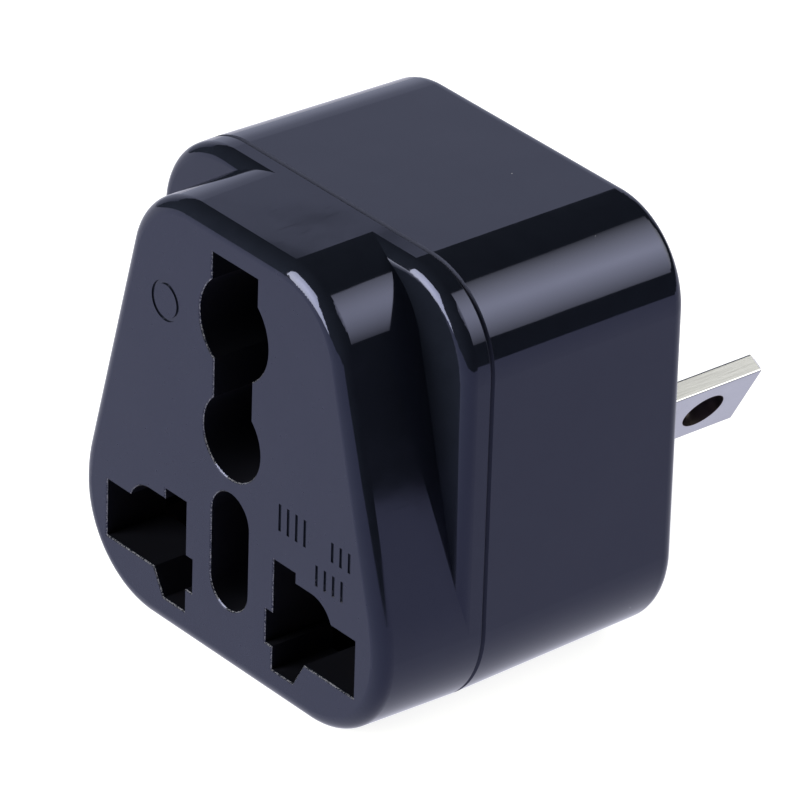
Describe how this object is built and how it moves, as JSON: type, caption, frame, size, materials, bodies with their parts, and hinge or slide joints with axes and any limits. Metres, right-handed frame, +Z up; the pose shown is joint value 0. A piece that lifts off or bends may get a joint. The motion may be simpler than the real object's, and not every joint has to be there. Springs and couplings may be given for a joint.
{
  "type": "universal travel adapter",
  "caption": "Compact travel adapter with a many-shaped socket face on a raised, tapering block and angled flat plug pins at the back.",
  "frame": {"origin": "centre of the bounding box's base: level with the lowest edge of the underside, midway across and midway from the socket face to the pin tips", "axes": "+X to the right as the socket face is seen, +Y from the socket face to the plug pins, +Z up, with the earth opening at the top"},
  "size_m": [0.0352, 0.0432, 0.0359],
  "materials": {
    "cover": "black, gloss sides with a finely textured face",
    "housing": "black, high gloss",
    "pin_metal": "nickel-plated, smooth",
    "contact_brass": "bare stamped strip",
    "spring_bronze": "bare spring strip",
    "rivet_brass": "bare",
    "screw_steel": "zinc-plated"
  },
  "bodies": {
    "root": {"front_cover": "cover", "rear_housing": "housing", "case_screws": "screw_steel", "live_pin": "pin_metal", "live_contact_base": "contact_brass", "live_leaf_upper": "spring_bronze", "live_leaf_lower": "spring_bronze", "live_leaf_rivets": "rivet_brass", "neutral_pin": "pin_metal", "neutral_contact_base": "contact_brass", "neutral_leaf_upper": "spring_bronze", "neutral_leaf_lower": "spring_bronze", "neutral_leaf_rivets": "rivet_brass"}
  },
  "joints": []
}
